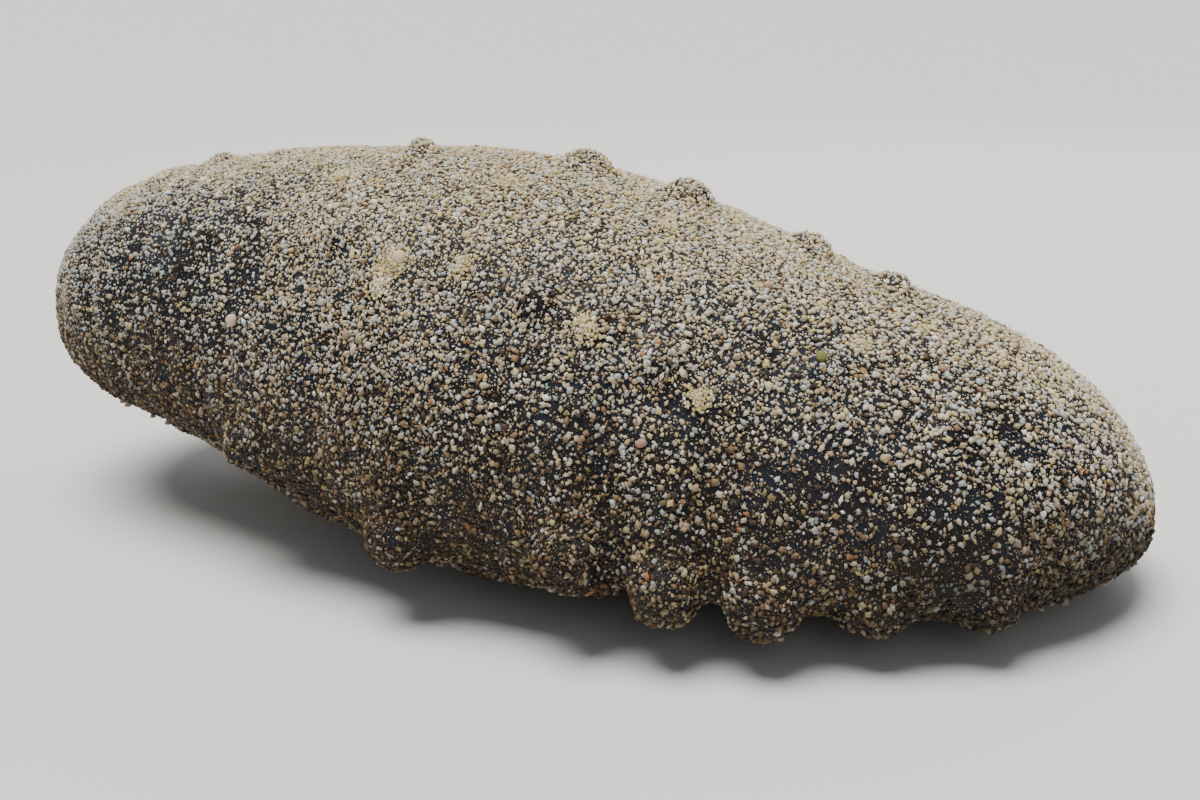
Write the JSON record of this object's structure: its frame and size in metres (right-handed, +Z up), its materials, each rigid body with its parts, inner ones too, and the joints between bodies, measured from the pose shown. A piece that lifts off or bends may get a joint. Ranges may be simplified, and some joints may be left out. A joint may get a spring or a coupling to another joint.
{
  "type": "sea cucumber",
  "caption": "Teatfish, a heavy sea cucumber: loaf-shaped dark body lying on its sole, teats along both lower edges, low knobs on the back, mouth under the head end.",
  "frame": {"origin": "on the floor, under the middle of the whole model's box", "axes": "+X along the animal towards the head end, +Z up, -Y the side that the picture shows"},
  "size_m": [0.3326, 0.1686, 0.1157],
  "materials": {
    "skin": "dark, dull, finely pitted skin under a coat of pale sand grains",
    "teat": "dark, dull skin, sanded like the back",
    "sole": "grey-brown, damp, with close tube feet",
    "tentacle": "black, moist, soft",
    "papilla": "pale, limy",
    "sand": "dull coral-sand grains, cream to tan"
  },
  "bodies": {
    "root": {"rear_end": "skin", "trunk_rear": "skin", "trunk_middle": "skin", "trunk_front": "skin", "head_end": "skin", "sole_rear": "sole", "sole_middle": "sole", "sole_front": "sole", "teat_near_1": "teat", "teat_near_2": "teat", "teat_near_3": "teat", "teat_near_4": "teat", "teat_near_5": "teat", "teat_near_6": "teat", "teat_near_7": "teat", "teat_far_1": "teat", "teat_far_2": "teat", "teat_far_3": "teat", "teat_far_4": "teat", "teat_far_5": "teat", "teat_far_6": "teat", "teat_far_7": "teat", "mouth_crown": "tentacle", "anal_ring": "papilla"}
  },
  "joints": []
}
